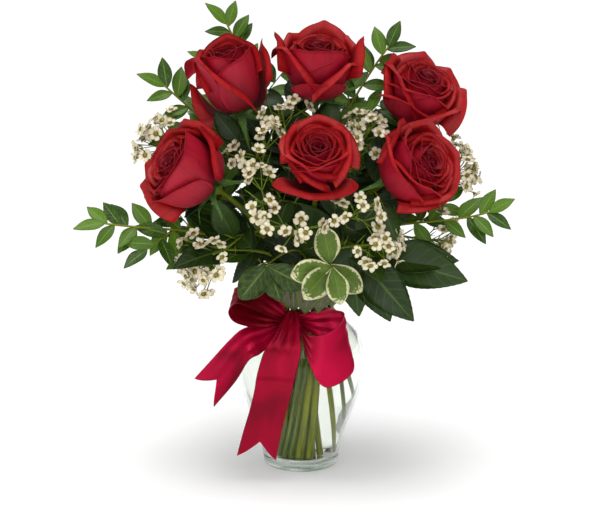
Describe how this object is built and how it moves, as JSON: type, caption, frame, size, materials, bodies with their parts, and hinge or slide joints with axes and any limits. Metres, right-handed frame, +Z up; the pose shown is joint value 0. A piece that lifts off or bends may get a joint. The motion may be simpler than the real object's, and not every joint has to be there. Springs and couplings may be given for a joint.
{
  "type": "roses in a vase",
  "caption": "Bouquet of red roses with waxflower, huckleberry, salal and variegated pittosporum, in a clear glass ginger-jar vase of water tied with a crimson satin bow.",
  "frame": {"origin": "centre of the vase's flat base, on the surface that it stands on", "axes": "+Z up along the vase's axis; the front, with the bow, looks towards -Y; +X to the right as seen from the front"},
  "size_m": [0.3633, 0.2351, 0.3941],
  "materials": {
    "glass": "clear pressed glass, grey-green where it is seen edge on",
    "water": "clear still water",
    "satin": "crimson satin ribbon, soft sheen along the weft, woven edges",
    "rose_stem": "matt waxy green stem and sepals",
    "petal": "velvety deep red petal, darker in the heart, lighter at the rolled lips",
    "pittosporum": "light grey-green leaf with a cream margin",
    "salal": "dark leathery leaf, semi-gloss, with sunken veins",
    "waxflower": "waxy cream-white petals round a yellow-green cup, thin green stalks",
    "huckleberry": "small mid-green leaves with a fine toothed edge, semi-gloss"
  },
  "bodies": {
    "root": {"vase": "glass", "water": "water", "ribbon": "satin", "rose_1_stem": "rose_stem", "rose_1_bloom": "petal", "rose_2_stem": "rose_stem", "rose_2_bloom": "petal", "rose_3_stem": "rose_stem", "rose_3_bloom": "petal", "rose_4_stem": "rose_stem", "rose_4_bloom": "petal", "rose_5_stem": "rose_stem", "rose_5_bloom": "petal", "rose_6_stem": "rose_stem", "rose_6_bloom": "petal", "pittosporum": "pittosporum", "salal_1": "salal", "salal_2": "salal", "salal_3": "salal", "waxflower_1": "waxflower", "waxflower_2": "waxflower", "waxflower_3": "waxflower", "waxflower_4": "waxflower", "waxflower_5": "waxflower", "waxflower_6": "waxflower", "huckleberry_1": "huckleberry", "huckleberry_2": "huckleberry", "huckleberry_3": "huckleberry", "huckleberry_4": "huckleberry", "huckleberry_5": "huckleberry"}
  },
  "joints": []
}
